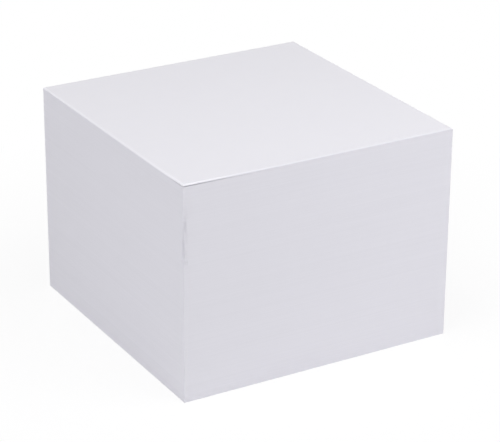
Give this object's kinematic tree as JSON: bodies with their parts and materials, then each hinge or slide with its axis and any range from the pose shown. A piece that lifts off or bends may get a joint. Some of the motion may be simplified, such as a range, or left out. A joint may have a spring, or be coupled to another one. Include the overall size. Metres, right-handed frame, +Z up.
{
  "type": "memo cube",
  "caption": "Square block of plain white note paper, cut flush on all sides, its top sheets lifting slightly at one corner.",
  "frame": {"origin": "centre of the square base, on the surface that the block stands on", "axes": "+Z up through the stack of sheets, +X and +Y along the sides of the sheets, the lifted corner at -X -Y"},
  "size_m": [0.09, 0.09, 0.0676],
  "materials": {
    "note_paper": "matte"
  },
  "bodies": {
    "root": {"paper_block": "note_paper"}
  },
  "joints": []
}
